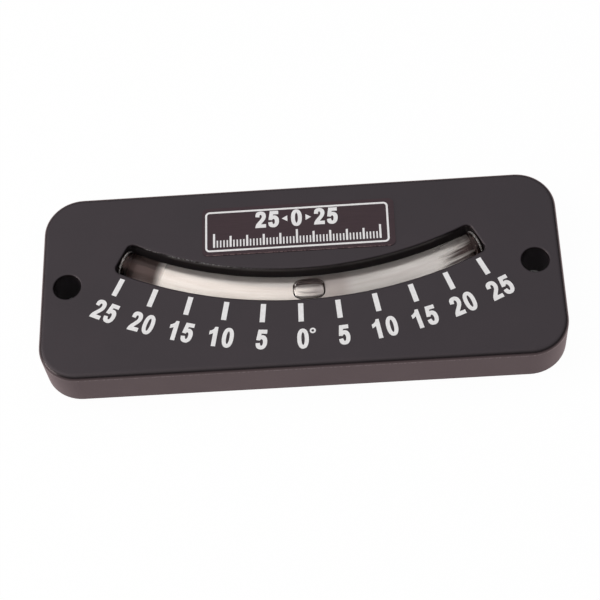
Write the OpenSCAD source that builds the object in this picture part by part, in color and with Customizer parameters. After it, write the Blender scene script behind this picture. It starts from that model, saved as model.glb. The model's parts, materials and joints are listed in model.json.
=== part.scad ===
// Bubble inclinometer: a moulded case with a curved vial behind an arc-shaped window.
// The case lies on its back: X runs along it to the right, Y up the dial, Z out of the face.
// The origin is the middle of the back face. Sizes are in millimetres, angles in degrees.
// Angles along the arc count from the middle of the window, positive to the right.

/* [Case] */
// Length of the case along X
case_w = 110; // [106:1:150]
// Height of the case along Y
case_h = 43.8; // [42:0.1:60]
// Thickness of the case from back to face
case_t = 9.6; // [9:0.1:14]
// Radius of the four upright corners
corner_r = 8.3; // [4:0.1:10]
// Radius that rounds the front edge
edge_r = 1.2; // [0.4:0.1:1.8]
// Thickness of the side walls
wall_t = 2; // [1.4:0.1:3]
// Thickness of the face over the hollows behind it
face_t = 2.2; // [1.6:0.1:3]
// Thickness of the ribs between the hollows
rib_t = 1.2; // [0.8:0.1:2]
// Widest hollow that is left between two ribs
hollow_max_w = 10.8; // [6:0.1:10.9]

/* [Fixing holes] */
// Diameter of the two fixing holes
hole_d = 5.8; // [4:0.1:6.5]
// Distance of a fixing hole's axis from the end of the case
hole_inset = 5.6; // [5.2:0.1:7]
// Wall of the boss round a fixing hole
boss_wall = 2.1; // [1.5:0.1:2.5]
// Radius that rounds a fixing hole's front edge
hole_lip_r = 0.35; // [0.1:0.05:0.6]

/* [Vial] */
// Radius of the vial's curved centreline
arc_r = 84; // [76:0.5:100]
// Height of the centreline's lowest point above the middle of the case
vial_y = -2.5; // [-4:0.1:-1]
// Outside diameter of the vial
vial_d = 6; // [5:0.1:6.6]
// Diameter of the vial's bore
bore_d = 3.6; // [3.4:0.1:4.4]
// Angle from the middle of the vial to each of its ends
vial_half_angle = 26.4; // [25:0.1:28]
// Depth of the vial's top below the face
vial_sink = 0.15; // [0.05:0.05:0.6]

/* [End caps] */
// Length of the cap's spigot inside the bore
spigot_len = 0.5; // [0.3:0.1:1.5]
// Clearance between the spigot and the bore, all round
spigot_gap = 0.02; // [0.01:0.01:0.1]
// Diameter of the cap's flange
flange_d = 5.6; // [4.6:0.1:5.8]
// Thickness of the cap's flange
flange_t = 0.4; // [0.3:0.1:0.8]
// Diameter of the stub that holds the vial behind the face
stub_d = 3.2; // [2.6:0.1:3.6]
// Length of the stub
stub_len = 2.4; // [1.5:0.1:3]
// Clearance round the stub in its socket
socket_gap = 0.15; // [0.05:0.05:0.3]

/* [Window] */
// Gap between the vial and the window's edge, on each side
window_gap = 0.7; // [0.5:0.05:1.2]
// Gap between a cap's flange and the window's end
window_end_gap = 0.25; // [0.1:0.05:0.8]
// Radius of the window's corners
window_corner_r = 1.4; // [0.6:0.1:2]
// Radius that rounds the window's edge
window_lip_r = 0.4; // [0.1:0.05:0.6]
// Thickness of the wall round the vial's channel
channel_wall = 1.6; // [1:0.1:2.2]

/* [Scale] */
// Largest angle on the scale
scale_max = 25; // [15:5:25]
// Angle between two marks
scale_step = 5; // [2.5:2.5:5]
// Gap between the window and the marks
mark_gap = 1.1; // [0.8:0.1:2]
// Length of a mark
mark_len = 4.3; // [3:0.1:6]
// Width of a mark
mark_w = 1.1; // [0.6:0.05:1.6]
// Depth of a mark's groove in the face
mark_depth = 0.3; // [0.2:0.05:0.5]
// Height of a mark's filling above the face
mark_proud = 0.05; // [0.02:0.01:0.1]

/* [Label plate] */
// Length of the label plate
label_w = 41.2; // [30:0.2:46]
// Height of the label plate
label_h = 11.8; // [8:0.1:12.6]
// Thickness of the label plate
label_t = 0.35; // [0.25:0.05:0.8]
// Depth of the plate's recess in the face
label_sink = 0.2; // [0.1:0.05:0.6]
// Distance of the plate's top edge from the top of the case
label_inset = 4.7; // [3:0.1:6]
// Radius of the plate's corners
label_corner_r = 1.2; // [0.4:0.1:2]

/* [Back cover] */
// Thickness of the back cover
cover_t = 1.6; // [1.4:0.1:2]
// Clearance all round the back cover
cover_gap = 0.15; // [0.05:0.05:0.3]
// Clearance between the cover's cradle and the walls of the channel
cradle_gap = 0.4; // [0.2:0.05:0.6]
// Depth of the cradle's upper edges below the vial's axis
cradle_drop = 1.9; // [1.5:0.1:2.4]

/* [Reflector and cushions] */
// Thickness of the reflector and of the cushions, as a curved trough
trough_t = 0.4; // [0.3:0.05:0.5]
// Gap between the vial and the trough round its back
trough_gap = 0.05; // [0.02:0.01:0.1]
// Gap between the trough and the cradle
seat_gap = 0.03; // [0.01:0.01:0.1]
// Depth of the trough's upper edges below the vial's axis
trough_drop = 0.5; // [0.2:0.1:1.2]
// Angle from the middle of the reflector to each of its ends
reflector_half_angle = 22; // [18:0.5:23]
// Gap between the reflector and a cushion, along the arc
cushion_gap = 0.2; // [0.1:0.05:0.5]

/* [Bubble] */
// Length of the bubble along the vial
bubble_len = 6.9; // [5:0.1:9]
// Diameter of the bubble
bubble_d = 3.1; // [2.4:0.05:3.1]
// Roundness of the bubble's outline: 2 is an ellipse, more is fuller
bubble_fullness = 2.3; // [2:0.1:3]
// Angle at which the bubble stands
bubble_angle = 1.2; // [-10:0.1:10]
// Gap between the liquid and what it touches
liquid_gap = 0.05; // [0.02:0.01:0.1]

/* [Cover screws] */
// Diameter of a screw's shank
screw_d = 2; // [1.6:0.1:2.4]
// Diameter of a screw's countersunk head
screw_head_d = 3.9; // [3.4:0.1:4.4]
// Length of a screw
screw_len = 6; // [4:0.1:6.4]
// Depth of a screw's head below the cover's back
screw_sink = 0.1; // [0.05:0.05:0.3]
// Clearance round a screw in the cover and in its post
screw_gap = 0.1; // [0.05:0.05:0.2]
// Wall of the post round a screw
post_wall = 1.5; // [1:0.1:2]
// Distance of a screw's axis from the end of the case
post_inset_x = 13.4; // [12.5:0.1:16]
// Distance of a screw's axis from the long side of the case
post_inset_y = 6.4; // [5.5:0.1:7]

/* [Hidden] */
$fn = 96;
// Overshoot of a cutting tool past the face that it cuts, and a small one inside an opening
over = 1;
nudge = 0.2;

// Centre of the arc, and the height of the vial's axis
arc_y = vial_y + arc_r;
vial_z = case_t - vial_sink - vial_d / 2;

// Length along the centreline, in degrees
function arc_angle(length) = length / arc_r * 180 / PI;

// The window's edges, its half angle and the half angles of what lies past it
window_inner_r = arc_r - vial_d / 2 - window_gap;
window_outer_r = arc_r + vial_d / 2 + window_gap;
window_half_angle = vial_half_angle + arc_angle(flange_t + window_end_gap);
stub_half_angle = vial_half_angle + arc_angle(flange_t + stub_len);
socket_half_angle = stub_half_angle + arc_angle(socket_gap);
spigot_half_angle = vial_half_angle - arc_angle(spigot_len);

// The centres of the window's corners, and where the corners run into the straight ends
corner_in_r = window_inner_r + window_corner_r;
corner_out_r = window_outer_r - window_corner_r;
corner_in_angle = window_half_angle - asin(window_corner_r / corner_in_r);
corner_out_angle = window_half_angle - asin(window_corner_r / corner_out_r);
end_in_r = sqrt(pow(corner_in_r, 2) - pow(window_corner_r, 2));
end_out_r = sqrt(pow(corner_out_r, 2) - pow(window_corner_r, 2));

// The trough that the reflector and the cushions share, and its seat in the cradle
trough_inner_r = vial_d / 2 + trough_gap;
trough_outer_r = trough_inner_r + trough_t;
seat_r = trough_outer_r + seat_gap;

// The hollows behind the face
hollow_top = case_t - face_t;
inner_w = case_w - 2 * wall_t;
inner_h = case_h - 2 * wall_t;
inner_corner_r = max(corner_r - wall_t, 1);
hollow_count = ceil((inner_w + rib_t) / (hollow_max_w + rib_t));
hollow_w = (inner_w - (hollow_count - 1) * rib_t) / hollow_count;

// Places of the fixing holes and of the cover's screws
hole_x = case_w / 2 - hole_inset;
boss_r = hole_d / 2 + boss_wall;
post_x = case_w / 2 - post_inset_x;
post_y = case_h / 2 - post_inset_y;
post_r = screw_d / 2 + screw_gap + post_wall;
screw_head_h = (screw_head_d - screw_d) / 2;

// The marks' inner end and the label plate's middle
mark_r = window_outer_r + mark_gap;
label_y = case_h / 2 - label_inset - label_h / 2;

case_colour = [0.21, 0.2, 0.21];
print_colour = [0.93, 0.93, 0.92];
rubber_colour = [0.1, 0.09, 0.09];

// A copy at the left and at the right, or at all four corners
module both_ends() {
    for (side = [-1, 1]) translate([side * hole_x, 0, 0]) children();
}

module four_posts() {
    for (side = [-1, 1], row = [-1, 1]) translate([side * post_x, row * post_y, 0]) children();
}

// A flat rectangle with round corners
module rounded_rectangle(w, h, r) {
    square([w - 2 * r, h], center = true);
    square([w, h - 2 * r], center = true);
    for (x = [-1, 1], y = [-1, 1]) translate([x * (w / 2 - r), y * (h / 2 - r)]) circle(r);
}

module rounded_plate(w, h, r, t) {
    linear_extrude(t) rounded_rectangle(w, h, r);
}

// A profile swept along the arc: its X runs outwards from the arc's centre, its Y up
module arc_sweep(from, to) {
    translate([0, arc_y, 0]) rotate([0, 0, from - 90]) rotate_extrude(angle = to - from) children();
}

// The same with the profile drawn round the vial's axis
module vial_sweep(from, to) {
    arc_sweep(from, to) translate([arc_r, vial_z]) children();
}

// A place at an angle and a radius on the arc, with its Y pointing to the arc's centre
module on_arc(angle, r) {
    translate([0, arc_y, 0]) rotate([0, 0, angle]) translate([0, -r, 0]) children();
}

// Half of the case's section: a wall of a given depth with a round upper edge
module edge_section(depth) {
    square([depth, case_t - edge_r]);
    square([depth - edge_r, case_t]);
    translate([depth - edge_r, case_t - edge_r]) circle(edge_r);
}

// The solid block of the case, with round corners and a round front edge
module case_block() {
    long = case_w - 2 * corner_r;
    short = case_h - 2 * corner_r;
    translate([-long / 2, -short / 2, 0]) cube([long, short, case_t]);
    for (turn = [0, 180]) rotate([0, 0, turn]) {
        translate([long / 2, short / 2, 0]) rotate([90, 0, 0]) linear_extrude(short) edge_section(corner_r);
        translate([-long / 2, short / 2, 0]) rotate([90, 0, 90]) linear_extrude(long) edge_section(corner_r);
        translate([long / 2, short / 2, 0]) rotate_extrude(angle = 90) edge_section(corner_r);
        translate([-long / 2, short / 2, 0]) rotate([0, 0, 90]) rotate_extrude(angle = 90)
            edge_section(corner_r);
    }
}

// What a rounded edge takes away beside a wall at X 0: a square corner less its round
module lip_corner(r) {
    difference() {
        translate([-r, -r]) square([r + nudge, r + over]);
        translate([-r, -r]) circle(r);
    }
}

// The section of the window's opening from a place inside it to its wall, where three flats
// break the edge
module window_section(from, wall) {
    low = cover_t - over;
    high = case_t + over;
    r = (wall > from ? 1 : -1) * window_lip_r;
    drop = window_lip_r;
    polygon([[from, low], [wall, low], [wall, case_t - drop],
        [wall + r * (1 - cos(30)), case_t - drop * (1 - sin(30))],
        [wall + r * (1 - cos(60)), case_t - drop * (1 - sin(60))],
        [wall + r, case_t], [wall + r, high], [from, high]]);
}

// The window's opening: an arc-shaped channel right through the case, with rounded corners.
module window_cut() {
    arc_sweep(-corner_in_angle, corner_in_angle) window_section(arc_r, window_inner_r);
    arc_sweep(-corner_out_angle, corner_out_angle) window_section(arc_r, window_outer_r);
    for (side = [-1, 1]) {
        on_arc(side * corner_in_angle, corner_in_r) window_corner();
        on_arc(side * corner_out_angle, corner_out_r) window_corner();
        on_arc(side * window_half_angle, end_in_r) rotate([90, 0, 0])
            linear_extrude(end_out_r - end_in_r) window_section(-side * window_corner_r * 1.2, 0);
    }
}

module window_corner() {
    rotate_extrude() window_section(0, window_corner_r);
}

// The walls of the channel that the vial lies in, before the window is cut
module channel_block() {
    wall_half_angle = socket_half_angle + arc_angle(channel_wall);
    arc_sweep(-wall_half_angle, wall_half_angle) translate([window_inner_r - channel_wall, 0])
        square([window_outer_r - window_inner_r + 2 * channel_wall, case_t - face_t / 2]);
}

// A socket for the stub of an end cap, open to the back
module stub_socket(side) {
    socket_r = stub_d / 2 + socket_gap;
    from = side > 0 ? window_half_angle - arc_angle(window_corner_r) : -socket_half_angle;
    to = side > 0 ? socket_half_angle : -window_half_angle + arc_angle(window_corner_r);
    vial_sweep(from, to) {
        circle(socket_r);
        translate([-socket_r, cover_t - over - vial_z]) square([2 * socket_r, vial_z - cover_t + over]);
    }
}

// The hollows between the ribs, less what stands in them
module hollows() {
    difference() {
        intersection() {
            translate([0, 0, cover_t - over])
                rounded_plate(inner_w, inner_h, inner_corner_r, hollow_top - cover_t + over);
            for (i = [0 : hollow_count - 1])
                translate([-inner_w / 2 + i * (hollow_w + rib_t), -inner_h / 2, 0])
                    cube([hollow_w, inner_h, case_t]);
        }
        channel_block();
        both_ends() cylinder(r = boss_r, h = case_t);
        four_posts() cylinder(r = post_r, h = case_t);
    }
}

// The cover's seat, which leaves the fixing bosses standing to the back
module cover_seat() {
    difference() {
        translate([0, 0, -over]) rounded_plate(inner_w, inner_h, inner_corner_r, cover_t + over);
        both_ends() translate([0, 0, -2 * over]) cylinder(r = boss_r, h = cover_t + 4 * over);
    }
}

module fixing_hole() {
    translate([0, 0, -over]) cylinder(d = hole_d, h = case_t + 2 * over);
    rotate_extrude() translate([hole_d / 2, case_t]) mirror([1, 0]) lip_corner(hole_lip_r);
}

// A mark of the scale, standing radially below the window
module mark(angle, height) {
    on_arc(angle, mark_r) translate([-mark_w / 2, -mark_len, case_t - mark_depth])
        cube([mark_w, mark_len, mark_depth + height]);
}

module all_marks(height) {
    for (angle = [-scale_max : scale_step : scale_max]) mark(angle, height);
}

module housing() {
    color(case_colour) difference() {
        case_block();
        hollows();
        cover_seat();
        window_cut();
        stub_socket(-1);
        stub_socket(1);
        both_ends() fixing_hole();
        four_posts() translate([0, 0, cover_t - over]) cylinder(d = screw_d + 2 * screw_gap,
            h = screw_len - screw_sink - cover_t + 2 * over);
        translate([0, label_y, case_t - label_sink])
            rounded_plate(label_w, label_h, label_corner_r, label_sink + over);
        all_marks(over);
    }
}

// The cradle that carries the trough, standing on the cover inside the channel
module cradle() {
    half_w = vial_d / 2 + window_gap - cradle_gap;
    half_angle = window_half_angle - arc_angle(window_corner_r);
    vial_sweep(-half_angle, half_angle) difference() {
        translate([-half_w, cover_t / 2 - vial_z]) square([2 * half_w, vial_z - cover_t / 2 - cradle_drop]);
        circle(seat_r);
    }
}

module back_cover() {
    color(case_colour) difference() {
        union() {
            rounded_plate(inner_w - 2 * cover_gap, inner_h - 2 * cover_gap, inner_corner_r - cover_gap,
                cover_t);
            cradle();
        }
        both_ends() translate([0, 0, -over]) cylinder(r = boss_r + cover_gap, h = cover_t + 2 * over);
        four_posts() {
            translate([0, 0, -over]) cylinder(d = screw_d + 2 * screw_gap, h = cover_t + 2 * over);
            translate([0, 0, screw_sink]) cylinder(d1 = screw_head_d + 2 * screw_gap,
                d2 = screw_d + 2 * screw_gap, h = screw_head_h);
            translate([0, 0, -over]) cylinder(d = screw_head_d + 2 * screw_gap, h = screw_sink + over);
        }
    }
}

// A countersunk screw that points into the case, with a cross recess in its head
module cover_screw() {
    recess_w = screw_head_d / 7;
    recess_l = screw_head_d * 0.55;
    recess_depth = screw_head_h * 0.7;
    translate([0, 0, screw_sink]) difference() {
        union() {
            cylinder(d1 = screw_head_d, d2 = screw_d, h = screw_head_h);
            cylinder(d = screw_d, h = screw_len);
        }
        for (turn = [0, 90]) rotate([0, 0, turn]) translate([0, 0, (recess_depth - over) / 2])
            cube([recess_l, recess_w, recess_depth + over], center = true);
    }
}

module cover_screws() {
    color("silver") four_posts() cover_screw();
}

module label_plate() {
    color([0.16, 0.14, 0.15]) translate([0, label_y, case_t - label_sink])
        rounded_plate(label_w, label_h, label_corner_r, label_t);
}

module scale_marks() {
    color(print_colour) all_marks(mark_proud);
}

module vial_tube() {
    color([0.9, 0.93, 0.93, 0.4]) vial_sweep(-vial_half_angle, vial_half_angle) difference() {
        circle(d = vial_d);
        circle(d = bore_d);
    }
}

// An end cap: a spigot in the bore, a flange over the tube's end and a stub in the case
module vial_cap(side) {
    flange_end = vial_half_angle + arc_angle(flange_t);
    color(rubber_colour) mirror([side < 0 ? 1 : 0, 0, 0]) {
        vial_sweep(spigot_half_angle, flange_end) circle(d = bore_d - 2 * spigot_gap);
        vial_sweep(vial_half_angle, flange_end) circle(d = flange_d);
        vial_sweep(vial_half_angle, stub_half_angle) circle(d = stub_d);
    }
}

module vial_cap_left() {
    vial_cap(-1);
}

module vial_cap_right() {
    vial_cap(1);
}

// Half of the bubble's outline, a rounded oval from one end to the other
function bubble_outline(grow) = let (
    half_len = bubble_len / 2 + grow,
    half_d = bubble_d / 2 + grow,
    power = 2 / bubble_fullness
) [for (a = [0 : 7.5 : 180]) [
    half_d * pow(sin(a), power),
    half_len * sign(cos(a)) * pow(abs(cos(a)), power)
]];

module bubble_body(grow) {
    on_arc(bubble_angle, arc_r) translate([0, 0, vial_z]) rotate([0, 90, 0])
        rotate_extrude() polygon(bubble_outline(grow));
}

module bubble() {
    color([0.97, 0.98, 1, 0.5]) bubble_body(0);
}

module liquid() {
    half_angle = spigot_half_angle - arc_angle(liquid_gap);
    color([0.95, 0.95, 0.9, 0.3]) difference() {
        vial_sweep(-half_angle, half_angle) circle(d = bore_d - 2 * liquid_gap);
        bubble_body(liquid_gap);
    }
}

// Part of the trough round the back of the vial
module trough(from, to) {
    vial_sweep(from, to) difference() {
        circle(trough_outer_r);
        circle(trough_inner_r);
        translate([-trough_outer_r - over, -trough_drop])
            square([2 * (trough_outer_r + over), trough_outer_r + trough_drop + over]);
    }
}

module reflector() {
    color([0.9, 0.89, 0.87]) trough(-reflector_half_angle, reflector_half_angle);
}

module cushion() {
    color(rubber_colour) trough(reflector_half_angle + arc_angle(cushion_gap), vial_half_angle);
}

module cushion_left() {
    mirror([1, 0, 0]) cushion();
}

module cushion_right() {
    cushion();
}

housing();
back_cover();
cover_screws();
label_plate();
scale_marks();
vial_tube();
vial_cap_left();
vial_cap_right();
liquid();
bubble();
reflector();
cushion_left();
cushion_right();
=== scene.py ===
"""The looks of the bubble inclinometer: its plastics, its printed scale and its liquid-filled vial.

Shapes are in metres. Materials work in millimetres and degrees, apart from the depths of bumps, which are
in metres. The object lies on its back: X runs along it to the right, Y up the dial and Z out of the face.
Angles along the vial count from its middle, positive to the right.
"""

import json
import math
import random

import bmesh
import bpy
from mathutils import Matrix, Vector


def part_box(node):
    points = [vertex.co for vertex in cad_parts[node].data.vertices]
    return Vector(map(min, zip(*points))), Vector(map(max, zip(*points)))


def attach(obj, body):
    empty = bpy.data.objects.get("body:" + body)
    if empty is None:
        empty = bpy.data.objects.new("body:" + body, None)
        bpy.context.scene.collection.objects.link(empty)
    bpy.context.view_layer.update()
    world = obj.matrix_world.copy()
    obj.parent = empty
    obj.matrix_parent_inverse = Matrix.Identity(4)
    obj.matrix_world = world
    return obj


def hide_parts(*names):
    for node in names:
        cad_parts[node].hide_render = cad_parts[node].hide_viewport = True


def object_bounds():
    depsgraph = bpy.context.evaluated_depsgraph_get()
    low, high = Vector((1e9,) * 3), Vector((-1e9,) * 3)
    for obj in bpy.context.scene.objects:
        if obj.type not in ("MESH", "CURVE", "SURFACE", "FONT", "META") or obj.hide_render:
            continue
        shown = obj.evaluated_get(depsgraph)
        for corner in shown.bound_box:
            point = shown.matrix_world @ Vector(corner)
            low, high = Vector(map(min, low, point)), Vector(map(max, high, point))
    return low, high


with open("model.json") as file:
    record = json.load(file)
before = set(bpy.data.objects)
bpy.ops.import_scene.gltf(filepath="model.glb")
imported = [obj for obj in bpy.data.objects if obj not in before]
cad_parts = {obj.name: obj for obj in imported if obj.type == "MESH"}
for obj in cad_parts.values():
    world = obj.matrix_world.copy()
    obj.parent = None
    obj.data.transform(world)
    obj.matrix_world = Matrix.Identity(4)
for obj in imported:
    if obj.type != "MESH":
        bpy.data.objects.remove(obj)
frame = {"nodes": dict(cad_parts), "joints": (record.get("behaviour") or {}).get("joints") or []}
CAD_BOX = [list(corner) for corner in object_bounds()]

MM = 0.001
SCENE = bpy.context.scene

# ---------------------------------------------------------------- sizes, from the frame

ARC_CENTRE = Vector(frame["joints"][0]["pos_m"])
FACE_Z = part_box("housing")[1].z
TUBE_LOW, TUBE_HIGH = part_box("vial_tube")
TUBE_R = (TUBE_HIGH.z - TUBE_LOW.z) / 2
ARC_R = ARC_CENTRE.y - TUBE_LOW.y - TUBE_R
TUBE_HALF_ANGLE = math.asin(TUBE_HIGH.x / (ARC_R + TUBE_R))
MARKS_OUTER_R = ARC_CENTRE.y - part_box("scale_marks")[0].y
LABEL_LOW, LABEL_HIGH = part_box("label_plate")
LABEL_MIDDLE = (LABEL_LOW + LABEL_HIGH) / 2
BUBBLE_LOW, BUBBLE_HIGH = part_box("bubble")
BUBBLE_MIDDLE = (BUBBLE_LOW + BUBBLE_HIGH) / 2
BUBBLE_HALF_LEN = (BUBBLE_HIGH.x - BUBBLE_LOW.x) / 2
BUBBLE_ANGLE = math.atan2(BUBBLE_MIDDLE.x, ARC_CENTRE.y - BUBBLE_MIDDLE.y)

# The same in millimetres, for the materials
FACE_MM = FACE_Z / MM
CASE_HALF_X = CAD_BOX[1][0] / MM
CASE_HALF_Y = CAD_BOX[1][1] / MM
LABEL_FOOT = LABEL_LOW.y / MM
# The case's front edge and corner radii. The frame doesn't give them, so they repeat the solid's
EDGE_R = 1.2
CORNER_R = 8.3

# ---------------------------------------------------------------- camera

CAMERA_AT = Vector((0.0160, -0.1764, 0.3137))
CAMERA_LOOK = Vector((-0.04621, 0.48725, -0.87204))
CAMERA_RIGHT = Vector((0.99723, -0.02839, -0.06871))
CAMERA_LENS = 100.36
CAMERA_SENSOR = 36


def make_camera():
    """The camera that was fitted to the photo."""
    data = bpy.data.cameras.new("camera")
    data.sensor_width = CAMERA_SENSOR
    data.lens = CAMERA_LENS
    camera = bpy.data.objects.new("camera", data)
    SCENE.collection.objects.link(camera)
    look = CAMERA_LOOK.normalized()
    right = (CAMERA_RIGHT - look * CAMERA_RIGHT.dot(look)).normalized()
    up = right.cross(look)
    turned = Matrix((right, up, -look)).transposed().to_4x4()
    camera.matrix_world = Matrix.Translation(CAMERA_AT) @ turned
    SCENE.camera = camera


# ---------------------------------------------------------------- node trees


def add_node(tree, kind, inputs=None, **settings):
    """Adds a node. An input is a plain value, or another node's output to link to it."""
    node = tree.nodes.new(kind)
    for name, value in settings.items():
        setattr(node, name, value)
    for key, value in (inputs or {}).items():
        if isinstance(value, bpy.types.NodeSocket):
            tree.links.new(value, node.inputs[key])
        else:
            node.inputs[key].default_value = value
    return node


def new_material(name, **sockets):
    """A material with one Principled shader, its sockets named as Principled_Socket=value."""
    material = bpy.data.materials.new(name)
    material.use_nodes = True
    tree = material.node_tree
    shader = tree.nodes["Principled BSDF"]
    for socket, value in sockets.items():
        shader.inputs[socket.replace("_", " ")].default_value = value
    return material, tree, shader


def drive(tree, shader, **outputs):
    """Links outputs of nodes to the shader's sockets, named as Principled_Socket=output."""
    for socket, output in outputs.items():
        tree.links.new(output, shader.inputs[socket.replace("_", " ")])


def bare_material(name):
    """A material whose tree holds only its output."""
    material = bpy.data.materials.new(name)
    material.use_nodes = True
    tree = material.node_tree
    tree.nodes.remove(tree.nodes["Principled BSDF"])
    return material, tree, tree.nodes["Material Output"].inputs["Surface"]


def math_node(tree, operation, a, b=0.0, c=0.0):
    """One step of arithmetic on numbers, each a plain value or an output."""
    return add_node(tree, "ShaderNodeMath", {0: a, 1: b, 2: c}, operation=operation).outputs[0]


def product(tree, *factors):
    """Several numbers multiplied together."""
    result = factors[0]
    for factor in factors[1:]:
        result = math_node(tree, "MULTIPLY", result, factor)
    return result


def absolute(tree, value):
    """A number without its sign."""
    return math_node(tree, "ABSOLUTE", value)


def axes(tree, vector):
    """A vector's X, Y and Z, by name."""
    return add_node(tree, "ShaderNodeSeparateXYZ", {0: vector}).outputs


def scaled(tree, vector, factor):
    """A vector or a colour times a number."""
    node = add_node(tree, "ShaderNodeVectorMath", {0: vector, "Scale": factor}, operation="SCALE")
    return node.outputs[0]


def place(tree):
    """A point's place in the row frame, in millimetres."""
    return scaled(tree, add_node(tree, "ShaderNodeTexCoord").outputs["Object"], 1 / MM)


def noise(tree, vector, scale, detail=3.0, roughness=0.55):
    """Noise about 0.5. Scale is in cells to the millimetre, when the vector is in millimetres."""
    inputs = {"Vector": vector, "Scale": scale, "Detail": detail, "Roughness": roughness}
    return add_node(tree, "ShaderNodeTexNoise", inputs).outputs["Fac"]


def ramp(tree, factor, stops):
    """A colour ramp from a list of (place, grey or colour)."""
    node = add_node(tree, "ShaderNodeValToRGB", {"Fac": factor})
    elements = node.color_ramp.elements
    while len(elements) < len(stops):
        elements.new(0.5)
    for element, (position, colour) in zip(elements, stops):
        element.position = position
        element.color = (*colour, 1) if isinstance(colour, tuple) else (colour, colour, colour, 1)
    return node.outputs["Color"]


def between(tree, factor, low, high):
    """A number from low to high as factor goes from 0 to 1."""
    inputs = {"Value": factor, "To Min": low, "To Max": high}
    return add_node(tree, "ShaderNodeMapRange", inputs).outputs[0]


def smooth_step(tree, value, start, end):
    """0 before start and 1 after end, turning smoothly."""
    inputs = {"Value": value, "From Min": start, "From Max": end}
    return add_node(tree, "ShaderNodeMapRange", inputs, interpolation_type="SMOOTHSTEP").outputs[0]


def band(tree, value, low, high, soft):
    """1 between low and high, and 0 outside them, with a soft edge on both sides."""
    above_low = smooth_step(tree, value, low - soft, low)
    below_high = smooth_step(tree, value, high + soft, high)
    return product(tree, above_low, below_high)


def bump(tree, height, strength, distance, below=None):
    """A normal from a height. Below is another bump that this one lies on."""
    inputs = {"Height": height, "Strength": strength, "Distance": distance}
    if below is not None:
        inputs["Normal"] = below
    return add_node(tree, "ShaderNodeBump", inputs).outputs["Normal"]


def mix_colours(tree, factor, a, b):
    """Colour a where factor is 0, colour b where it is 1."""
    node = add_node(tree, "ShaderNodeMix", {"Factor": factor}, data_type="RGBA")
    sockets = [socket for socket in node.inputs if socket.type == "RGBA"]
    for socket, colour in zip(sockets, (a, b)):
        if isinstance(colour, bpy.types.NodeSocket):
            tree.links.new(colour, socket)
        else:
            socket.default_value = (*colour, 1)
    return next(socket for socket in node.outputs if socket.type == "RGBA")


def arc_place(tree):
    """A point's angle along the vial in degrees, and its distance from the arc's centre in millimetres."""
    point = axes(tree, place(tree))
    away = math_node(tree, "SUBTRACT", ARC_CENTRE.y / MM, point["Y"])
    degrees = product(tree, math_node(tree, "ARCTAN2", point["X"], away), math.degrees(1))
    across = math_node(tree, "POWER", point["X"], 2.0)
    squares = math_node(tree, "ADD", across, math_node(tree, "POWER", away, 2.0))
    return degrees, math_node(tree, "SQRT", squares)


# ---------------------------------------------------------------- plastics and print

# The walls of the window, darkened with painted shade, in millimetres and degrees. Each pair runs from
# where their painted shade begins to where it is full: off the vial's axis, along it, below the face, and
# above the back
WINDOW_OFF_AXIS = (4.6, 4.0)
WINDOW_HALF_SPAN = (29.5, 28.5)
WINDOW_BELOW_FACE = (0.3, 1.6)
WINDOW_ABOVE_BACK = (1.0, 1.6)
WINDOW_SHADE_COLOUR = (0.011, 0.009, 0.009)
WINDOW_ROUGHER = 0.45


def inside_window(tree):
    """1 on the walls of the window below its edge, for painted shade and more roughness; 0 on the face and
    the case's back.
    """
    degrees, radius = arc_place(tree)
    height = axes(tree, place(tree))["Z"]
    off_axis = absolute(tree, math_node(tree, "SUBTRACT", radius, ARC_R / MM))
    near = smooth_step(tree, off_axis, *WINDOW_OFF_AXIS)
    between_ends = smooth_step(tree, absolute(tree, degrees), *WINDOW_HALF_SPAN)
    below_face = smooth_step(tree, height, FACE_MM - WINDOW_BELOW_FACE[0], FACE_MM - WINDOW_BELOW_FACE[1])
    above_back = smooth_step(tree, height, *WINDOW_ABOVE_BACK)
    return product(tree, below_face, above_back, product(tree, near, between_ends))


# The painted highlight along the window's upper edge, broken into specks: its place inwards of the vial's
# axis, how far below the face it ends, and where it begins and fades out along the vial
LIP_OFF_AXIS = (3.67, 3.83)
LIP_SOFT = 0.05
LIP_BELOW_FACE = (0.42, 0.30)
LIP_BEGINS = (-25.4, -24.6)
LIP_FADES = (0.0, -17.0)
# The painted highlight round the outer sides, broken into specks: how far below the rounding it lies, how
# far in from the case's half length and half height it begins, and how strong it is
SIDE_LINE = (0.08, 0.24)
SIDE_SOFT = 0.06
SIDE_FROM_X = (2.65, 2.45)
SIDE_FROM_Y = (2.9, 2.7)
SIDE_STRENGTH = 0.5
EDGE_GLINT_COLOUR = (0.24, 0.235, 0.24)
EDGE_GLINT_SPECKS = (0.48, 0.60)
SPECK_SCALE = 3.4


def specks(tree, point, start, end):
    """Scattered specks: 1 on them and 0 between them."""
    return smooth_step(tree, noise(tree, point, SPECK_SCALE, detail=1.0), start, end)


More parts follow.
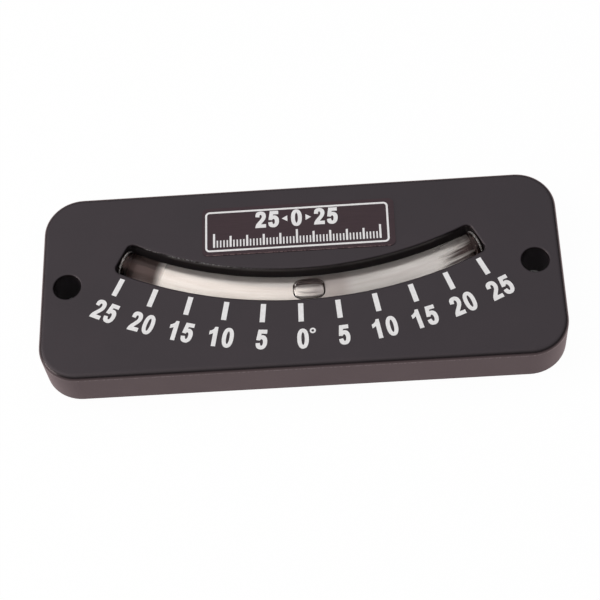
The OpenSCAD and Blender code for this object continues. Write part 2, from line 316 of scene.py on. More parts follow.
def worn_edges(tree):
    """Painted highlights, broken into specks, along the upper left edge of the window and where the
    rounding meets the outer sides.
    """
    degrees, radius = arc_place(tree)
    point = place(tree)
    parts = axes(tree, point)
    below_face = math_node(tree, "SUBTRACT", FACE_MM, parts["Z"])
    inwards = math_node(tree, "SUBTRACT", ARC_R / MM, radius)
    lip = product(tree, band(tree, inwards, *LIP_OFF_AXIS, LIP_SOFT),
                  smooth_step(tree, below_face, *LIP_BELOW_FACE))
    along = product(tree, smooth_step(tree, degrees, *LIP_BEGINS), smooth_step(tree, degrees, *LIP_FADES))
    outer = [
        smooth_step(tree, absolute(tree, parts[axis]), half - start, half - end)
        for axis, half, (start, end) in (("X", CASE_HALF_X, SIDE_FROM_X), ("Y", CASE_HALF_Y, SIDE_FROM_Y))
    ]
    line = band(tree, below_face, EDGE_R + SIDE_LINE[0], EDGE_R + SIDE_LINE[1], SIDE_SOFT)
    sides = product(tree, line, product(tree, math_node(tree, "MAXIMUM", *outer), SIDE_STRENGTH))
    lines = math_node(tree, "MAXIMUM", product(tree, lip, along), sides)
    return product(tree, lines, specks(tree, point, *EDGE_GLINT_SPECKS))


# The rounded front edge, rubbed smooth and darkened with painted shade: its top below the face, its fade,
# and how it looks
SHOULDER_TOP = 0.2
SHOULDER_SOFT = 0.15
SHOULDER_SHADE = 0.7
SHOULDER_SHADE_COLOUR = (0.008, 0.006, 0.006)
SHOULDER_GLOSS = -0.16
CLOUD_SHARE = 0.65
GRAIN_SHARE = 0.35
SHADE_STOPS = (0.32, 0.68)
ROUGHNESS_SPREAD = 0.06


def moulded_plastic(name, dark, light, roughness, grain):
    """Spark-eroded moulded plastic: a fine grain, faint cloudiness, rounded edges rubbed smooth, and
    painted shade and highlights.
    """
    material, tree, shader = new_material(name, IOR=1.5, Specular_Tint=(1.0, 0.88, 0.92, 1))
    point = place(tree)
    cloud = noise(tree, point, scale=0.09, detail=4.0)
    fine = noise(tree, point, scale=grain, detail=2.0, roughness=0.6)
    shade = math_node(tree, "ADD", product(tree, cloud, CLOUD_SHARE), product(tree, fine, GRAIN_SHARE))
    window = inside_window(tree)
    height = axes(tree, point)["Z"]
    shoulder = band(tree, height, FACE_MM - EDGE_R, FACE_MM - SHOULDER_TOP, SHOULDER_SOFT)
    colour = ramp(tree, shade, list(zip(SHADE_STOPS, (dark, light))))
    # painted shade: the rounded front edge is darkened in colour
    colour = mix_colours(tree, product(tree, shoulder, SHOULDER_SHADE), colour, SHOULDER_SHADE_COLOUR)
    # painted shade: the window's walls are darkened in colour
    colour = mix_colours(tree, window, colour, WINDOW_SHADE_COLOUR)
    # painted highlight: light specks along the window's upper edge and the outer sides
    colour = mix_colours(tree, worn_edges(tree), colour, EDGE_GLINT_COLOUR)
    uneven = between(tree, cloud, roughness - ROUGHNESS_SPREAD, roughness + ROUGHNESS_SPREAD)
    gloss = math_node(tree, "MULTIPLY_ADD", shoulder, SHOULDER_GLOSS, uneven)
    rough = math_node(tree, "MULTIPLY_ADD", window, WINDOW_ROUGHER, gloss)
    broad = bump(tree, noise(tree, point, scale=0.5, detail=2.0), strength=0.10, distance=0.00006)
    grained = bump(tree, fine, strength=0.30, distance=0.00002, below=broad)
    drive(tree, shader, Base_Color=colour, Roughness=rough, Normal=grained)
    return material


# The painted highlight along the label's lower edge, broken into specks: how far up it reaches and where it
# has faded, and its colour
LABEL_GLINT_REACH = (0.14, 0.22)
LABEL_GLINT_SPECKS = (0.46, 0.58)
LABEL_GLINT_COLOUR = (0.16, 0.10, 0.10)
LABEL_DARK = (0.022, 0.0095, 0.0125)
LABEL_LIGHT = (0.034, 0.017, 0.021)


def label_plastic():
    """The label plate: a smoother, browner sheet with a fine lengthwise brushing and a painted highlight
    along its lower edge.
    """
    material, tree, shader = new_material("label_plastic", IOR=1.5, Specular_Tint=(1.0, 0.84, 0.90, 1))
    point = place(tree)
    drawn = add_node(tree, "ShaderNodeMapping", {"Vector": point, "Scale": (0.12, 2.2, 1.0)}).outputs[0]
    brushing = noise(tree, drawn, scale=2.0, detail=4.0, roughness=0.7)
    colour = ramp(tree, brushing, [(0.3, LABEL_DARK), (0.7, LABEL_LIGHT)])
    up_the_dial = axes(tree, point)["Y"]
    # painted highlight: light specks along the label's lower edge
    low_edge = smooth_step(tree, up_the_dial, LABEL_FOOT + LABEL_GLINT_REACH[1], LABEL_FOOT + LABEL_GLINT_REACH[0])
    label_glint = product(tree, low_edge, specks(tree, point, *LABEL_GLINT_SPECKS))
    drive(tree, shader,
          Base_Color=mix_colours(tree, label_glint, colour, LABEL_GLINT_COLOUR),
          Roughness=between(tree, brushing, 0.38, 0.48),
          Normal=bump(tree, brushing, strength=0.12, distance=0.00003))
    return material


def white_print():
    """Thick screen-printed white: faintly uneven in colour and orange-peeled."""
    material, tree, shader = new_material("white_print", IOR=1.45)
    point = place(tree)
    patch = noise(tree, point, scale=1.6, detail=3.0)
    peel = noise(tree, point, scale=7.0, detail=2.0)
    drive(tree, shader,
          Base_Color=ramp(tree, patch, [(0.3, (0.84, 0.83, 0.83)), (0.7, (0.93, 0.925, 0.93))]),
          Roughness=between(tree, patch, 0.45, 0.6),
          Normal=bump(tree, peel, strength=0.25, distance=0.00002))
    return material


def black_rubber():
    """The end caps' dark rubber, dusty in patches."""
    material, tree, shader = new_material("black_rubber", IOR=1.5)
    dust = noise(tree, place(tree), scale=3.0, detail=4.0, roughness=0.7)
    drive(tree, shader,
          Base_Color=ramp(tree, dust, [(0.35, (0.020, 0.007, 0.005)), (0.75, (0.040, 0.018, 0.014))]),
          Roughness=between(tree, dust, 0.5, 0.75),
          Normal=bump(tree, dust, strength=0.2, distance=0.00003))
    return material


def screw_steel():
    """Bright zinc-plated steel with slight blotches and a fine grain."""
    material, tree, shader = new_material("screw_steel", Metallic=1.0)
    point = place(tree)
    blotch = noise(tree, point, scale=1.5, detail=4.0, roughness=0.6)
    grain = noise(tree, point, scale=9.0, detail=2.0)
    drive(tree, shader,
          Base_Color=ramp(tree, blotch, [(0.3, (0.55, 0.56, 0.58)), (0.7, (0.76, 0.76, 0.76))]),
          Roughness=between(tree, blotch, 0.22, 0.38),
          Normal=bump(tree, grain, strength=0.15, distance=0.00002))
    return material


# ---------------------------------------------------------------- vial materials

# The noise's step for a degree along the vial, in its waves and in the silver's streaks, and for a
# millimetre across the streaks
WAVE_STRETCH = 0.12
STREAK_STRETCH = 0.05
STREAK_CROWDING = 1.6


def vial_clear():
    """Clear acrylic, filled: smooth, with the slightest waviness along it."""
    material, tree, shader = new_material("vial_clear", Base_Color=(1.0, 0.995, 0.985, 1), Roughness=0.0,
                                          IOR=1.46, Transmission_Weight=1.0,
                                          Specular_Tint=(0.6, 0.42, 0.40, 1))
    degrees, radius = arc_place(tree)
    along = add_node(tree, "ShaderNodeCombineXYZ", {"X": product(tree, degrees, WAVE_STRETCH), "Y": radius})
    wave = noise(tree, along.outputs[0], scale=0.8, detail=1.0)
    drive(tree, shader, Normal=bump(tree, wave, strength=0.03, distance=0.0001))
    return material


def seal_clear():
    """The cement that seals the vial's ends: slightly milky, wavy and glossy."""
    material, tree, shader = new_material("seal_clear", Base_Color=(1.0, 0.96, 0.93, 1), Roughness=0.03,
                                          IOR=1.48, Transmission_Weight=0.87)
    lumps = noise(tree, place(tree), scale=3.2, detail=2.0)
    drive(tree, shader, Normal=bump(tree, lumps, strength=0.8, distance=0.0003))
    return material


# The liquid's index, over which the bubble's light goes into air
LIQUID_INDEX = 1.40


def bubble_skin():
    """The wall of the bubble, seen from the liquid: the light goes from liquid into air."""
    material, tree, surface = bare_material("gas_bubble")
    ripple = bump(tree, noise(tree, place(tree), scale=0.6, detail=1.0), strength=0.02, distance=0.0001)
    inputs = {"Color": (1, 1, 1, 1), "Roughness": 0.0, "IOR": 1 / LIQUID_INDEX, "Normal": ripple}
    tree.links.new(add_node(tree, "ShaderNodeBsdfGlass", inputs).outputs[0], surface)
    return material


# Height at which the silver ends on the strip's flanks, in millimetres, and the width of its fade
SILVER_TOP = (TUBE_LOW.z + TUBE_HIGH.z) / 2 / MM - 1.75
SILVER_TOP_FADE = 0.25
# Where it fades at its ends, in degrees, and how far the streaks pull the right end about. The fades are
# partly the cushions' own dark rubber and partly painted shadow
SILVER_LEFT = (-20.6, -22.4)
SILVER_RIGHT = (30.4, 35.6)
RIGHT_RAGGEDNESS = 19.0
# A painted shade on the strip just right of zero, in degrees, with its fade and how deep it goes
SHADE_DIP_SPAN = (2.5, 5.5)
SHADE_DIP_SOFT = 2.8
SHADE_DIP_DEPTH = 0.62
SHADE_DIP_COLOUR = (0.55, 0.46, 0.44)
# The strip faces a little further up the dial than the trough under it, by this slope
SILVER_TILT = 0.25
SILVER_DARK = (0.74, 0.675, 0.64)
SILVER_LIGHT = (0.95, 0.885, 0.845)
SILVER_METALLIC = 0.62
DULL_AND_SHADOW_COLOUR = (0.035, 0.015, 0.012)
DULL_ROUGHER = 0.3


def silver_film():
    """The satin silver behind the vial, drawn lengthwise. It fades on its flanks and over the cushions, its
    ends partly painted shadow, and it has a painted shade just right of zero.
    """
    material, tree, shader = new_material("silver_film")
    degrees, radius = arc_place(tree)
    streak_place = add_node(tree, "ShaderNodeCombineXYZ", {
        "X": product(tree, degrees, STREAK_STRETCH),
        "Y": product(tree, radius, STREAK_CROWDING),
    })
    streak = noise(tree, streak_place.outputs[0], scale=1.6, detail=4.0, roughness=0.6)
    silver = ramp(tree, streak, [(0.25, SILVER_DARK), (0.6, SILVER_LIGHT)])
    # painted shade: the strip is darker just right of zero
    shade_dip = product(tree, band(tree, degrees, *SHADE_DIP_SPAN, SHADE_DIP_SOFT), SHADE_DIP_DEPTH)
    silver = mix_colours(tree, shade_dip, silver, SHADE_DIP_COLOUR)
    height = axes(tree, place(tree))["Z"]
    flank = smooth_step(tree, height, SILVER_TOP, SILVER_TOP + SILVER_TOP_FADE)
    # painted shadow, in part: the soft fades into the dark ends
    ragged = math_node(tree, "MULTIPLY_ADD", streak, RIGHT_RAGGEDNESS, degrees)
    right = smooth_step(tree, ragged, *SILVER_RIGHT)
    left = smooth_step(tree, degrees, *SILVER_LEFT)
    dull = math_node(tree, "MAXIMUM", math_node(tree, "MAXIMUM", right, left), flank)
    satin = between(tree, streak, 0.29, 0.18)
    tilted = bump(tree, radius, strength=1.0, distance=SILVER_TILT * MM)
    drive(tree, shader,
          Base_Color=mix_colours(tree, dull, silver, DULL_AND_SHADOW_COLOUR),
          Metallic=between(tree, dull, SILVER_METALLIC, 0.0),
          Roughness=math_node(tree, "MULTIPLY_ADD", dull, DULL_ROUGHER, satin),
          Normal=bump(tree, streak, strength=0.15, distance=0.00005, below=tilted))
    return material


# ---------------------------------------------------------------- digits

# Each digit is drawn 100 units high in a cell 54 wide. A loop is a list of stretches: a "line"
# joins its points with straight edges, a "curve" runs smoothly through them.
DIGIT_UNITS = 100
DIGIT_CELL = 54
# A corner sharper than this has its mitre cut short
MITRE_LIMIT = 0.5


def oval(x, y, half_w, half_h, fullness=2.3, steps=40):
    """A closed superellipse."""
    points = []
    for i in range(steps):
        c, s = math.cos(2 * math.pi * i / steps), math.sin(2 * math.pi * i / steps)
        points.append((x + half_w * math.copysign(abs(c) ** (2 / fullness), c),
                       y + half_h * math.copysign(abs(s) ** (2 / fullness), s)))
    return points


def curve_through(points, steps=5):
    """A Catmull-Rom curve through the points."""
    ends = [points[0], *points, points[-1]]
    made = [points[0]]
    for p0, p1, p2, p3 in zip(ends, ends[1:], ends[2:], ends[3:]):
        for i in range(1, steps + 1):
            t = i / steps
            made.append(tuple(
                0.5 * (2 * b + (c - a) * t + (2 * a - 5 * b + 4 * c - d) * t**2
                       + (3 * b - a - 3 * c + d) * t**3)
                for a, b, c, d in zip(p0, p1, p2, p3)))
    return made


def loop(*stretches):
    """A closed outline from its stretches."""
    points = []
    for kind, stretch in stretches:
        made = curve_through(stretch) if kind == "curve" else list(stretch)
        points += made[1:] if points and made[0] == points[-1] else made
    return points[:-1] if points[0] == points[-1] else points


DIGITS = {
    "0": [oval(27, 50, 25.5, 51.5), oval(27, 50, 10, 36, 2.2)],
    "1": [loop(("line", [(22, 0), (39, 0), (39, 100), (27, 100)]),
               ("curve", [(27, 100), (22, 89), (13, 81), (4, 77)]),
               ("line", [(4, 77), (4, 61)]),
               ("curve", [(4, 61), (13, 65), (22, 71)]),
               ("line", [(22, 71), (22, 0)]))],
    "2": [loop(("line", [(52, 0), (52, 17), (25, 17)]),
               ("curve", [(25, 17), (29, 25), (38, 37), (48, 53), (52, 71), (49, 88), (40, 98), (27, 101.5),
                          (13, 98), (5, 88), (3, 71)]),
               ("line", [(3, 71), (18.5, 69)]),
               ("curve", [(18.5, 69), (20.5, 80), (27, 85.5), (33.5, 80.5), (36, 71), (33, 58), (23, 43),
                          (10, 25), (4, 12), (2, 0)]),
               ("line", [(2, 0), (52, 0)]))],
    "5": [loop(("line", [(3, 48), (10, 100), (49, 100), (49, 83), (23, 83), (20.5, 68)]),
               ("curve", [(20.5, 68), (30, 71), (42, 66), (50, 53), (52, 34), (48, 15), (38, 2), (26, -1.5),
                          (12, 2), (4, 12), (1.5, 27)]),
               ("line", [(1.5, 27), (17.5, 29)]),
               ("curve", [(17.5, 29), (20.5, 18), (26.5, 14), (33, 19), (36, 34), (33.5, 48), (26.5, 54),
                          (21, 51.5), (17.5, 46)]),
               ("line", [(17.5, 46), (3, 48)]))],
}
DEGREE_RING = [oval(0, 0, 14.5, 14.5, 2.0, 28), oval(0, 0, 6.5, 6.5, 2.0, 28)]


def thicken(loops, growth):
    """Makes the strokes of a digit bolder: its outline moves outwards and the hole in it closes in."""
    made = []
    for number, points in enumerate(loops):
        turned = sum(a[0] * b[1] - b[0] * a[1] for a, b in zip(points, points[1:] + points[:1]))
        side = growth * math.copysign(1, turned) * (1 if number == 0 else -1)
        moved = []
        for before, point, after in zip(points[-1:] + points[:-1], points, points[1:] + points[:1]):
            into = (Vector(point) - Vector(before)).normalized()
            out = (Vector(after) - Vector(point)).normalized()
            normal_in, normal_out = Vector((into.y, -into.x)), Vector((out.y, -out.x))
            mitre = (normal_in + normal_out) / max(1 + normal_in.dot(normal_out), MITRE_LIMIT)
            moved.append(tuple(Vector(point) + mitre * side))
        made.append(moved)
    return made


def placed(loops, scale, x, y, widen=1.0):
    """The loops scaled and moved. Widen stretches them sideways only."""
    return [[(x + px * scale * widen, y + py * scale) for px, py in one] for one in loops]


def number_loops(text, height, pitch, boldness, widen=1.0):
    """The loops of a number, its middle at the origin. Pitch is the distance between its digits."""
    scale = height / DIGIT_UNITS
    first = -pitch * (len(text) - 1) / 2
    loops = []
    for i, digit in enumerate(text):
        x = first + i * pitch - DIGIT_CELL / 2 * scale * widen
        loops += placed(thicken(DIGITS[digit], boldness), scale, x, -height / 2, widen)
    return loops


# ---------------------------------------------------------------- printed pieces

PRINT_T = 0.07 * MM
PRINT_BEDDED = 0.02 * MM
# Points of an outline closer than this are one point
PRINT_MERGE = PRINT_T / 20


def new_piece(name, mesh, material, body="case", smooth=False):
    """Puts a mesh in the scene as one piece with one material."""
    piece = bpy.data.objects.new(name, mesh)
    SCENE.collection.objects.link(piece)
    mesh.materials.clear()
    mesh.materials.append(material)
    for polygon in mesh.polygons:
        polygon.use_smooth = smooth
    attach(piece, body)
    return piece


def flat_mesh(name, loops):
    """A flat print of closed loops, with holes where a loop lies in another, its foot at Z 0."""
    curve = bpy.data.curves.new(name, "CURVE")
    curve.dimensions = "2D"
    curve.fill_mode = "BOTH"
    curve.extrude = PRINT_T / 2
    for points in loops:
        spline = curve.splines.new("POLY")
        spline.points.add(len(points) - 1)
        for target, (x, y) in zip(spline.points, points):
            target.co = (x, y, 0, 1)
        spline.use_cyclic_u = True
    holder = bpy.data.objects.new(name, curve)
    mesh = bpy.data.meshes.new_from_object(holder)
    bpy.data.objects.remove(holder)
    bpy.data.curves.remove(curve)
    shape = bmesh.new()
    shape.from_mesh(mesh)
    bmesh.ops.remove_doubles(shape, verts=shape.verts, dist=PRINT_MERGE)
    bmesh.ops.recalc_face_normals(shape, faces=shape.faces)
    bmesh.ops.translate(shape, verts=shape.verts, vec=(0, 0, PRINT_T / 2))
    shape.to_mesh(mesh)
    shape.free()
    return mesh


def print_on(name, loops, matrix, material):
    """Prints loops on the surface that the matrix places, a little bedded into it."""
    mesh = flat_mesh(name, loops)
    mesh.transform(matrix @ Matrix.Translation((0, 0, -PRINT_BEDDED)))
    return new_piece(name, mesh, material)


NUMERAL_H = 4.35 * MM
NUMERAL_PITCH = 2.92 * MM
NUMERAL_GAP = 1.85 * MM
NUMERAL_BOLDNESS = 2.0
DEGREE_RING_AT = (2.08 * MM, 1.76 * MM)
# The numbers stand a little to the right of their marks, in degrees, and more so further right
NUMERAL_LEAN = 0.15
NUMERAL_SPREAD = 0.007
SCALE_STEP = 5
SCALE_MAX = 25


def make_numerals(material):
    """The numbers of the scale, each upright on its own radius below its mark."""
    radius = MARKS_OUTER_R + NUMERAL_GAP + NUMERAL_H / 2
    for value in range(-SCALE_MAX, SCALE_MAX + 1, SCALE_STEP):
        angle = math.radians(value + NUMERAL_LEAN + NUMERAL_SPREAD * value)
        matrix = (Matrix.Translation((ARC_CENTRE.x, ARC_CENTRE.y, FACE_Z))
                  @ Matrix.Rotation(angle, 4, "Z") @ Matrix.Translation((0, -radius, 0)))
        loops = number_loops(str(abs(value)), NUMERAL_H, NUMERAL_PITCH, NUMERAL_BOLDNESS)
        side = "zero" if value == 0 else "left" if value < 0 else "right"
        if value == 0:
            loops += placed(DEGREE_RING, NUMERAL_H / DIGIT_UNITS, *DEGREE_RING_AT)
        print_on(f"numeral_{abs(value)}_{side}", loops, matrix, material)


LABEL_SHIFT = -0.3 * MM
LABEL_FRAME_W = 39.3 * MM
LABEL_FRAME_H = 10.0 * MM
LABEL_FRAME_R = 1.0 * MM
LABEL_LINE = 0.42 * MM
# The row of numbers: its height on the label, and the numbers with their places
RANGE_Y = 2.35 * MM
RANGE_H = 3.85 * MM
RANGE_PITCH = 2.80 * MM
RANGE_BOLDNESS = 2.6
RANGE_WIDEN = 1.08
RANGE_TEXT = (("25", -6.3 * MM), ("0", 0.0), ("25", 6.3 * MM))
ARROW_TIP = 3.15 * MM
ARROW_BASE = 1.95 * MM
ARROW_HALF_H = 0.72 * MM
# The rule: its foot and step, and the heights and widths of its ticks from the longest, in millimetres
RULE_FOOT = -3.95 * MM
RULE_STEP = 0.71 * MM
TICK_H = (3.4, 2.7, 1.7)
TICK_W = (0.44, 0.30)


def rounded_loop(w, h, r, steps=8):
    """A rectangle with round corners, its middle at the origin."""
    points = []
    for corner, (sx, sy) in enumerate([(1, 1), (-1, 1), (-1, -1), (1, -1)]):
        for i in range(steps + 1):
            a = math.pi / 2 * (corner + i / steps)
            points.append((sx * (w / 2 - r) + r * math.cos(a), sy * (h / 2 - r) + r * math.sin(a)))
    return points


def bar(x, y, w, h):
    """An upright bar about its middle."""
    return [(x - w / 2, y - h / 2), (x + w / 2, y - h / 2), (x + w / 2, y + h / 2), (x - w / 2, y + h / 2)]


def make_label_print(material):
    """The label's print: a frame, the range in plain numbers and a fine rule below them."""
    middle = Matrix.Translation((LABEL_MIDDLE.x + LABEL_SHIFT, LABEL_MIDDLE.y, LABEL_HIGH.z))
    border = [rounded_loop(LABEL_FRAME_W, LABEL_FRAME_H, LABEL_FRAME_R),
              rounded_loop(LABEL_FRAME_W - 2 * LABEL_LINE, LABEL_FRAME_H - 2 * LABEL_LINE,
                           LABEL_FRAME_R - LABEL_LINE)]
    print_on("label_frame", border, middle, material)

    numbers = []
    for text, x in RANGE_TEXT:
        digits = number_loops(text, RANGE_H, RANGE_PITCH, RANGE_BOLDNESS, RANGE_WIDEN)
        numbers += placed(digits, 1.0, x, RANGE_Y)
    for side in (-1, 1):
        base = side * ARROW_BASE
        numbers.append([(side * ARROW_TIP, RANGE_Y), (base, RANGE_Y + ARROW_HALF_H),
                        (base, RANGE_Y - ARROW_HALF_H)])
    print_on("label_range", numbers, middle, material)

    ticks = []
    for i in range(-SCALE_MAX, SCALE_MAX + 1):
        long_tick = i % SCALE_STEP == 0
        height = (TICK_H[0] if i % SCALE_MAX == 0 else TICK_H[1] if long_tick else TICK_H[2]) * MM
        width = (TICK_W[0] if long_tick else TICK_W[1]) * MM
        ticks.append(bar(i * RULE_STEP, RULE_FOOT + height / 2, width, height))
    print_on("label_rule", ticks, middle, material)


# ---------------------------------------------------------------- vial and its ends


def arc_frame(angle):
    """At an angle along the vial: the point of its axis, the way outwards and the way along."""
    outwards = Vector((math.sin(angle), -math.cos(angle), 0))
    along = Vector((math.cos(angle), math.sin(angle), 0))
    return ARC_CENTRE + outwards * ARC_R, outwards, along


def turns(count):
    """The angles of evenly spaced points round a circle."""
    return [2 * math.pi * j / count for j in range(count)]


def close_rings(shape, rings):
    """Joins each ring of points to the next with faces."""
    around = len(rings[0])
    for ring, after in zip(rings, rings[1:]):
        for j in range(around):
            k = (j + 1) % around
            shape.faces.new((ring[j], ring[k], after[k], after[j]))


def mesh_of(shape, name):
    """The finished mesh of a shape, its faces turned outwards."""
    bmesh.ops.recalc_face_normals(shape, faces=shape.faces)
    mesh = bpy.data.meshes.new(name)
    shape.to_mesh(mesh)
    shape.free()
    return mesh


ROD_AROUND = 64
ROD_ALONG = 220


def make_vial(material):
    """The tube and the liquid in it, drawn as one clear body because the wetted bore doesn't show."""
    shape = bmesh.new()
    rings = []
    for i in range(ROD_ALONG + 1):
        centre, outwards, _ = arc_frame(TUBE_HALF_ANGLE * (2 * i / ROD_ALONG - 1))
        ring = []
        for turn in turns(ROD_AROUND):
            above = Vector((0, 0, TUBE_R * math.sin(turn)))
            ring.append(shape.verts.new(centre + outwards * (TUBE_R * math.cos(turn)) + above))
        rings.append(ring)
    close_rings(shape, rings)
    shape.faces.new(list(reversed(rings[0])))
    shape.faces.new(rings[-1])
    piece = new_piece("vial_filled", mesh_of(shape, "vial_filled"), material, smooth=True)
    for polygon in piece.data.polygons:
        if len(polygon.vertices) == ROD_AROUND:
            polygon.use_smooth = False
    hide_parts("vial_tube", "liquid")


SEAL_R = 0.15 * MM
SEAL_SPAN = (math.radians(-35), math.radians(215))
SEAL_STEPS = 120
SEAL_AROUND = 14
# How far the bead lies past the tube's end and off its wall, and how wide it is, in shares of its radius
SEAL_PAST_END = 0.3
SEAL_OFF_WALL = 0.05
SEAL_WIDTH = 1.3
# The lumps: their number, and the ranges of their rate, phase and size
SEAL_WAVES = 6
SEAL_WAVE_RATE = (5, 31)
SEAL_WAVE_PHASE = (0, 6.28)
SEAL_WAVE_SIZE = (0.08, 0.18)
SEAL_SEED = 11
# How late the bead tapers towards its two tips, and how much is left of its square there
SEAL_TAPER = 8
SEAL_TIP = 0.02


def make_seal(side, material):
    """A lumpy bead of cement round the visible half of the vial's end."""
    name = "seal_left" if side < 0 else "seal_right"
    rng = random.Random(SEAL_SEED + side)
    centre, outwards, along = arc_frame(side * (TUBE_HALF_ANGLE + SEAL_R * SEAL_PAST_END / ARC_R))
    up = Vector((0, 0, 1))
    waves = [(rng.uniform(*SEAL_WAVE_RATE), rng.uniform(*SEAL_WAVE_PHASE), rng.uniform(*SEAL_WAVE_SIZE))
             for _ in range(SEAL_WAVES)]
    shape = bmesh.new()
    rings = []
    for i in range(SEAL_STEPS + 1):
        turn = SEAL_SPAN[0] + (SEAL_SPAN[1] - SEAL_SPAN[0]) * i / SEAL_STEPS
        swell = 1 + sum(size * math.sin(rate * turn + phase) for rate, phase, size in waves)
        taper = math.sqrt(max(1 - (2 * i / SEAL_STEPS - 1) ** SEAL_TAPER, SEAL_TIP))
        r = SEAL_R * swell * taper
        radial = outwards * math.cos(turn) + up * math.sin(turn)
        middle = centre + radial * (TUBE_R + SEAL_R * SEAL_OFF_WALL)
        rings.append([
            shape.verts.new(middle + radial * (r * math.cos(a)) + along * (SEAL_WIDTH * r * math.sin(a)))
            for a in turns(SEAL_AROUND)
        ])
    close_rings(shape, rings)
    for ends in (rings[0], rings[-1]):
        shape.faces.new(ends)
    new_piece(name, mesh_of(shape, name), material, smooth=True)


# How far the strip is drawn out, and how near its end a point has to lie to be part of its end face
LAP_ANGLE = math.radians(0.22)
LAP_PICK = math.radians(0.01)


def vial_angle(point):
    """A point's angle along the vial."""
    return math.atan2(point.x, ARC_CENTRE.y - point.y)


def make_film_lap(side, material):
    """Carries the film over the narrow gap between the strip and a cushion: the strip's end, drawn out."""
    shape = bmesh.new()
    shape.from_mesh(frame["nodes"]["reflector"].data)
    end = max(vial_angle(vert.co) for vert in shape.verts)
    ends_here = {vert for vert in shape.verts if side * vial_angle(vert.co) > end - LAP_PICK}
    others = [face for face in shape.faces if not ends_here.issuperset(face.verts)]
    bmesh.ops.delete(shape, geom=others, context="FACES")
    made = bmesh.ops.extrude_face_region(shape, geom=shape.faces[:], use_keep_orig=True)["geom"]
    moved = [item for item in made if isinstance(item, bmesh.types.BMVert)]
    turned = Matrix.Rotation(side * LAP_ANGLE, 3, "Z")
    bmesh.ops.rotate(shape, verts=moved, cent=ARC_CENTRE, matrix=turned)
    name = "film_lap_left" if side < 0 else "film_lap_right"
    new_piece(name, mesh_of(shape, name), material)


# ---------------------------------------------------------------- bubble

# The bore that the bubble lies in, with a little clearance, and the liquid's level below its axis
BORE_R = 1.75 * MM
BUBBLE_FLOOR = -0.45 * MM
# How tightly the bubble turns from roof to level, how full its ends are in plan, how late they drop,
# and its roll, whose minus sign is towards the lower edge of the dial
BUBBLE_CORNER = 2.7
BUBBLE_PLAN = 3.0
BUBBLE_FLATNESS = 5
BUBBLE_ROLL = math.radians(-8)
BUBBLE_AROUND = 96
BUBBLE_ALONG = 72


def bubble_section(middle):
    """A cut across the bubble: the bore's roof, the liquid's level below, a tight turn between them."""
    points = []
    for turn in turns(BUBBLE_AROUND):
        s, c = math.sin(turn), math.cos(turn)
        to_roof = math.sqrt(BORE_R**2 - (middle * s) ** 2) - middle * c
        reach = to_roof
        if c < 0:
            to_floor = (BUBBLE_FLOOR - middle) / c
            reach = (to_roof**-BUBBLE_CORNER + to_floor**-BUBBLE_CORNER) ** (-1 / BUBBLE_CORNER)
        points.append((reach * s, middle + reach * c))
    return points


def make_bubble(material):
    """The bubble: it lies under the bore's roof on the liquid's level, and is rounded off at both ends."""
    half_len = BUBBLE_HALF_LEN / math.cos(BUBBLE_ANGLE)
    middle = (BUBBLE_FLOOR + BORE_R) / 2
    section = bubble_section(middle)
    shape = bmesh.new()
    rings = []
    for i in range(1, BUBBLE_ALONG):
        x = -math.cos(math.pi * i / BUBBLE_ALONG)
        width = (1 - abs(x) ** BUBBLE_PLAN) ** (1 / BUBBLE_PLAN)
        height = math.sqrt(1 - abs(x) ** BUBBLE_FLATNESS)
        rings.append([
            shape.verts.new((x * half_len, y * width, middle + (z - middle) * height)) for y, z in section
        ])
    close_rings(shape, rings)
    for x, ring in ((-half_len, rings[0]), (half_len, rings[-1])):
        tip = shape.verts.new((x, 0, middle))
        for here, after in zip(ring, ring[1:] + ring[:1]):
            shape.faces.new((tip, here, after))
    mesh = mesh_of(shape, "bubble_skin")
    mesh.transform(Matrix.Translation(BUBBLE_MIDDLE) @ Matrix.Rotation(BUBBLE_ANGLE, 4, "Z")
                   @ Matrix.Rotation(-BUBBLE_ROLL, 4, "X"))
    piece = new_piece("bubble_skin", mesh, material, body="bubble", smooth=True)
    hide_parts("bubble")


# ---------------------------------------------------------------- stage

FLOOR_SIZE = 6
FLOOR_GREY = (0.62, 0.62, 0.62, 1)
# The floor also shines: how strongly, how much of it, and its colour for light that isn't for the camera
FLOOR_STRENGTH = 1.022
FLOOR_LIT = 0.95
FLOOR_GLOW = (1.22, 0.98, 0.98)
# Width of the fade from the object's outline inwards, in millimetres
FOOTPRINT_MARGIN = 2.0


def outside_footprint(tree):
    """1 on the open floor and 0 under the object, where the floor keeps its own shadow."""
    point = axes(tree, place(tree))
    squares = []
    for axis, half in (("X", CASE_HALF_X), ("Y", CASE_HALF_Y)):
        past = math_node(tree, "SUBTRACT", absolute(tree, point[axis]), half - CORNER_R)
        squares.append(math_node(tree, "POWER", math_node(tree, "MAXIMUM", past, 0.0), 2.0))
    from_corner = math_node(tree, "SQRT", math_node(tree, "ADD", *squares))
    beyond = math_node(tree, "SUBTRACT", from_corner, CORNER_R)
    inputs = {"Value": beyond, "From Min": -FOOTPRINT_MARGIN, "From Max": 0.0}
    return add_node(tree, "ShaderNodeMapRange", inputs).outputs[0]


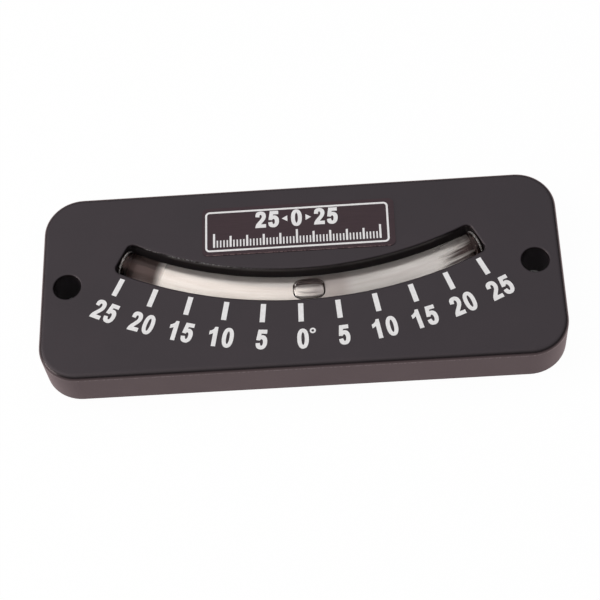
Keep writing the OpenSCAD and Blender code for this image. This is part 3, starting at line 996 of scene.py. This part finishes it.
def make_floor():
    """A white floor that shines, except under the object."""
    bpy.ops.mesh.primitive_plane_add(size=FLOOR_SIZE, location=(0, 0, 0))
    floor = bpy.context.object
    floor.name = "floor"
    material, tree, surface = bare_material("floor")
    paper = add_node(tree, "ShaderNodeBsdfDiffuse", {"Color": FLOOR_GREY})
    path = add_node(tree, "ShaderNodeLightPath").outputs
    glow = mix_colours(tree, path["Is Camera Ray"], FLOOR_GLOW, (1.0, 1.0, 1.0))
    lit = add_node(tree, "ShaderNodeEmission", {"Color": glow, "Strength": FLOOR_STRENGTH})
    mirrored = math_node(tree, "MAXIMUM", path["Is Glossy Ray"], path["Is Transmission Ray"])
    seen = math_node(tree, "MAXIMUM", path["Is Camera Ray"], mirrored)
    share = product(tree, seen, product(tree, outside_footprint(tree), FLOOR_LIT))
    mixed = add_node(tree, "ShaderNodeMixShader", {0: share, 1: paper.outputs[0], 2: lit.outputs[0]})
    tree.links.new(mixed.outputs[0], surface)
    floor.data.materials.append(material)


WORLD_LIGHT = 0.95
# The dome's light against its height, from the horizon at 0 to the top at 1
DOME_HEIGHTS = [(0.0, 0.07), (0.50, 0.07), (0.70, (0.97, 0.98, 1.0))]
# Its shading in front, from the far left at 0 to the far right at 1, and where the front begins on Y
FRONT_SIDES = [(0.485, 1.0), (0.515, 0.45), (0.55, 0.50), (0.61, 0.85)]
FRONT_FROM = (0.36, 0.16)
# The bright field: its middle, its rim as the cosine off the middle, its cut on X, and its colour
FIELD_MIDDLE = Vector((-0.30, -0.10, 0.95))
FIELD_EDGE = (0.86, 0.90)
FIELD_SIDE = (0.03, -0.03)
FIELD_COLOUR = (1.40, 1.36, 1.33)


def make_world():
    """White to the camera, and for the light a soft dome with a bright field overhead on the left."""
    world = bpy.data.worlds.new("world")
    SCENE.world = world
    world.use_nodes = True
    tree = world.node_tree
    background = tree.nodes["Background"]
    direction = add_node(tree, "ShaderNodeTexCoord").outputs["Generated"]
    parts = axes(tree, direction)
    dome = ramp(tree, parts["Z"], DOME_HEIGHTS)
    sides = ramp(tree, math_node(tree, "MULTIPLY_ADD", parts["X"], 0.5, 0.5), FRONT_SIDES)
    shade = between(tree, smooth_step(tree, parts["Y"], *FRONT_FROM), 1.0, sides)
    facing = add_node(tree, "ShaderNodeVectorMath", {0: direction, 1: FIELD_MIDDLE.normalized()},
                      operation="DOT_PRODUCT").outputs["Value"]
    inside_rim = smooth_step(tree, facing, *FIELD_EDGE)
    field = product(tree, inside_rim, smooth_step(tree, parts["X"], *FIELD_SIDE))
    layers = {0: scaled(tree, dome, shade), 1: scaled(tree, FIELD_COLOUR, field)}
    light = add_node(tree, "ShaderNodeVectorMath", layers, operation="MAXIMUM").outputs[0]
    tree.links.new(light, background.inputs["Color"])
    background.inputs["Strength"].default_value = WORLD_LIGHT
    white = add_node(tree, "ShaderNodeBackground", {"Color": (1, 1, 1, 1), "Strength": 1.0})
    to_camera = add_node(tree, "ShaderNodeLightPath").outputs["Is Camera Ray"]
    mixed = add_node(tree, "ShaderNodeMixShader",
                     {0: to_camera, 1: background.outputs[0], 2: white.outputs[0]})
    tree.links.new(mixed.outputs[0], tree.nodes["World Output"].inputs["Surface"])


# Name, place, width, height, watts and colour. Each softbox is aimed at the origin
LAMPS = [
    ("left_high", (-0.62, 0.10, 0.48), 0.40, 0.40, 1.3, (1, 0.98, 0.96)),
    ("left_low", (-0.744, -0.215, 0.200), 0.44, 0.22, 2.2, (1, 0.93, 0.90)),
]


def make_lights():
    """The softboxes on the left."""
    for name, at, width, height, watts, colour in LAMPS:
        data = bpy.data.lights.new(name, "AREA")
        data.shape = "RECTANGLE"
        data.size = width
        data.size_y = height
        data.energy = watts
        data.color = colour
        lamp = bpy.data.objects.new(name, data)
        SCENE.collection.objects.link(lamp)
        lamp.location = at
        lamp.rotation_euler = (-Vector(at)).to_track_quat("-Z", "Y").to_euler()


# ---------------------------------------------------------------- the build


def dress(material, *nodes):
    """Gives CAD nodes their finish."""
    for node in nodes:
        mesh = frame["nodes"][node].data
        mesh.materials.clear()
        mesh.materials.append(material)


def build():
    """Makes the stage, dresses the CAD nodes and adds the pieces that the scene draws itself."""
    make_camera()
    make_floor()
    make_world()
    make_lights()

    film = silver_film()
    paint = white_print()
    dress(moulded_plastic("case_plastic", dark=(0.0205, 0.0170, 0.0205), light=(0.0285, 0.0228, 0.0272),
                          roughness=0.46, grain=5.0), "housing")
    dress(moulded_plastic("cover_plastic", dark=(0.019, 0.016, 0.018), light=(0.028, 0.024, 0.027),
                          roughness=0.55, grain=3.0), "back_cover")
    dress(screw_steel(), "cover_screws")
    dress(label_plastic(), "label_plate")
    dress(paint, "scale_marks")
    dress(black_rubber(), "vial_cap_left", "vial_cap_right")
    dress(film, "cushion_left", "cushion_right", "reflector")

    make_numerals(paint)
    make_label_print(paint)
    make_vial(vial_clear())
    make_bubble(bubble_skin())
    cement = seal_clear()
    for side in (-1, 1):
        make_seal(side, cement)
    for side in (-1, 1):
        make_film_lap(side, film)
    SCENE.view_settings.view_transform = "Standard"


build()
bpy.context.view_layer.update()
